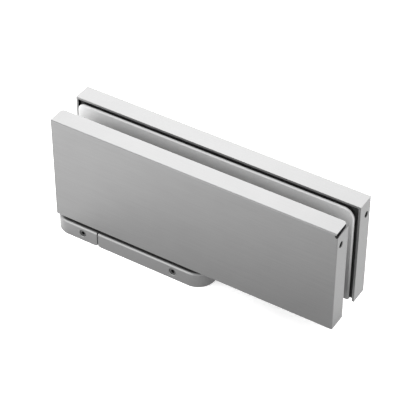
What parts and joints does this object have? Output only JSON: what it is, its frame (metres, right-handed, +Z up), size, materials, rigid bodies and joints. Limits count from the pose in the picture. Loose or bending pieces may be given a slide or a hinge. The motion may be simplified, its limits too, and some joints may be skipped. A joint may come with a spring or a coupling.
{
  "type": "door closer",
  "caption": "Hydraulic patch closer for a frameless glass door: two sheet covers over a glass clamp and closer body that turns on a low floor unit.",
  "frame": {"origin": "On the underside of the floor unit, where the door's pivot axis meets the floor.", "axes": "+X along the door away from its hinge edge, +Y towards the rear cover, +Z up along the pivot axis."},
  "size_m": [0.209, 0.0418, 0.092],
  "materials": {
    "satin_stainless": "satin brushed stainless steel",
    "satin_nickel": "satin nickel plate",
    "cast_aluminium": "machined cast aluminium",
    "zinc_steel": "zinc-plated steel",
    "hardened_steel": "ground hardened steel",
    "spring_steel": "oiled spring steel",
    "brass": "turned brass",
    "black_steel": "black oxide steel",
    "nitrile": "black nitrile rubber",
    "black_plastic": "black moulded nylon"
  },
  "bodies": {
    "floor_unit": {"floor_base": "zinc_steel", "floor_cover_short": "satin_nickel", "floor_cover_long": "satin_nickel", "floor_grub_screws": "black_steel", "spindle": "hardened_steel"},
    "door_unit": {"closer_body": "cast_aluminium", "front_clamp_plate": "cast_aluminium", "clamp_bolts": "zinc_steel", "lower_bearing": "hardened_steel", "upper_bearing": "hardened_steel", "shaft_seal": "nitrile", "circlip": "spring_steel", "top_plug": "zinc_steel", "top_plug_seal": "nitrile", "near_end_cap": "zinc_steel", "far_end_cap": "zinc_steel", "near_cap_seal": "nitrile", "far_cap_seal": "nitrile", "gallery_plug": "brass", "short_spring": "spring_steel", "long_spring": "spring_steel", "front_end_blocks": "black_plastic", "rear_end_blocks": "black_plastic", "front_cover": "satin_stainless", "rear_cover": "satin_stainless", "cover_screws": "black_steel"},
    "piston_unit": {"piston": "hardened_steel", "check_valve_seats": "brass", "check_valve_balls": "hardened_steel"},
    "closing_regulator": {"closing_valve": "brass", "closing_valve_seal": "nitrile"},
    "latching_regulator": {"latching_valve": "brass", "latching_valve_seal": "nitrile"}
  },
  "joints": [
    {"name": "door_swing", "type": "hinge", "parent": "floor_unit", "child": "door_unit", "pos_m": [0, 0, 0.0153], "axis": [0, 0, 1], "range_deg": [-90, 90], "stiffness_Nm_per_rad": 6},
    {"name": "piston_slide", "type": "slide", "parent": "door_unit", "child": "piston_unit", "axis": [1, 0, 0], "range_m": [-0.01061, 0.01061], "deforming": ["short_spring", "long_spring"]},
    {"name": "closing_valve_turn", "type": "hinge", "parent": "door_unit", "child": "closing_regulator", "pos_m": [0.0924, -0.017, 0.0537], "axis": [0, 1, 0], "range_deg": [-90, 270]},
    {"name": "latching_valve_turn", "type": "hinge", "parent": "door_unit", "child": "latching_regulator", "pos_m": [-0.0416, -0.017, 0.0537], "axis": [0, 1, 0], "range_deg": [-90, 270]}
  ],
  "couplings": [
    {"joint": "piston_slide", "follows": "door_swing", "m_per_rad": 0.00675}
  ]
}
